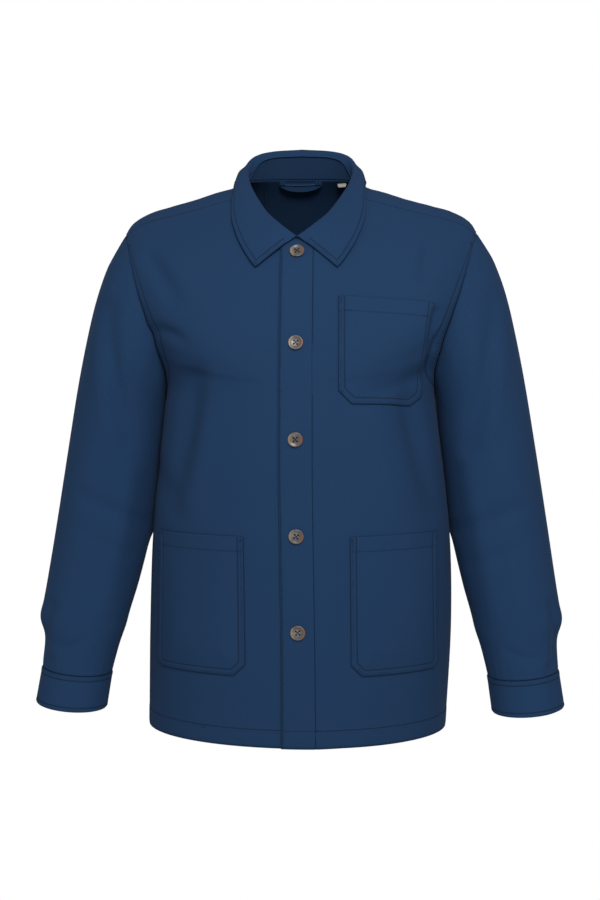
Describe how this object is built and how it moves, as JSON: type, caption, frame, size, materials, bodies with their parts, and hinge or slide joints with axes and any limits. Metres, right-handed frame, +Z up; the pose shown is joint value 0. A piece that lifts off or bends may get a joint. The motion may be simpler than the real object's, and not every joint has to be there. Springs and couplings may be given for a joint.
{
  "type": "chore_jacket",
  "caption": "hollow collared jacket in worn form: buttoned front on a doubled placket, long sleeves with closed cuffs, one chest and two hip patch pockets, hanger loop",
  "frame": {"origin": "the middle of the shoulder line at the neck, where a wearer carries the jacket", "axes": "+Z up, the jacket's front faces -Y, the wearer's left is +X"},
  "size_m": [0.7176, 0.2773, 0.8416],
  "materials": {
    "cotton_body": "matte indigo cotton twill",
    "cotton_sleeves": "matte indigo cotton twill",
    "cotton_collar": "matte indigo cotton twill",
    "cotton_pockets": "matte indigo cotton twill",
    "white_tape": "plain woven tape",
    "horn": "mottled horn, satin polish"
  },
  "bodies": {
    "root": {"front_right": "cotton_body", "front_left": "cotton_body", "placket": "cotton_body", "back_centre": "cotton_body", "back_right": "cotton_body", "back_left": "cotton_body", "sleeve_right": "cotton_sleeves", "sleeve_left": "cotton_sleeves", "cuff_right": "cotton_sleeves", "cuff_left": "cotton_sleeves", "collar_stand": "cotton_collar", "collar_fall": "cotton_collar", "pocket_chest": "cotton_pockets", "pocket_hip_right": "cotton_pockets", "pocket_hip_left": "cotton_pockets", "hanger_loop": "cotton_collar", "size_tab": "white_tape", "button_1": "horn", "button_2": "horn", "button_3": "horn", "button_4": "horn", "button_5": "horn"}
  },
  "joints": []
}
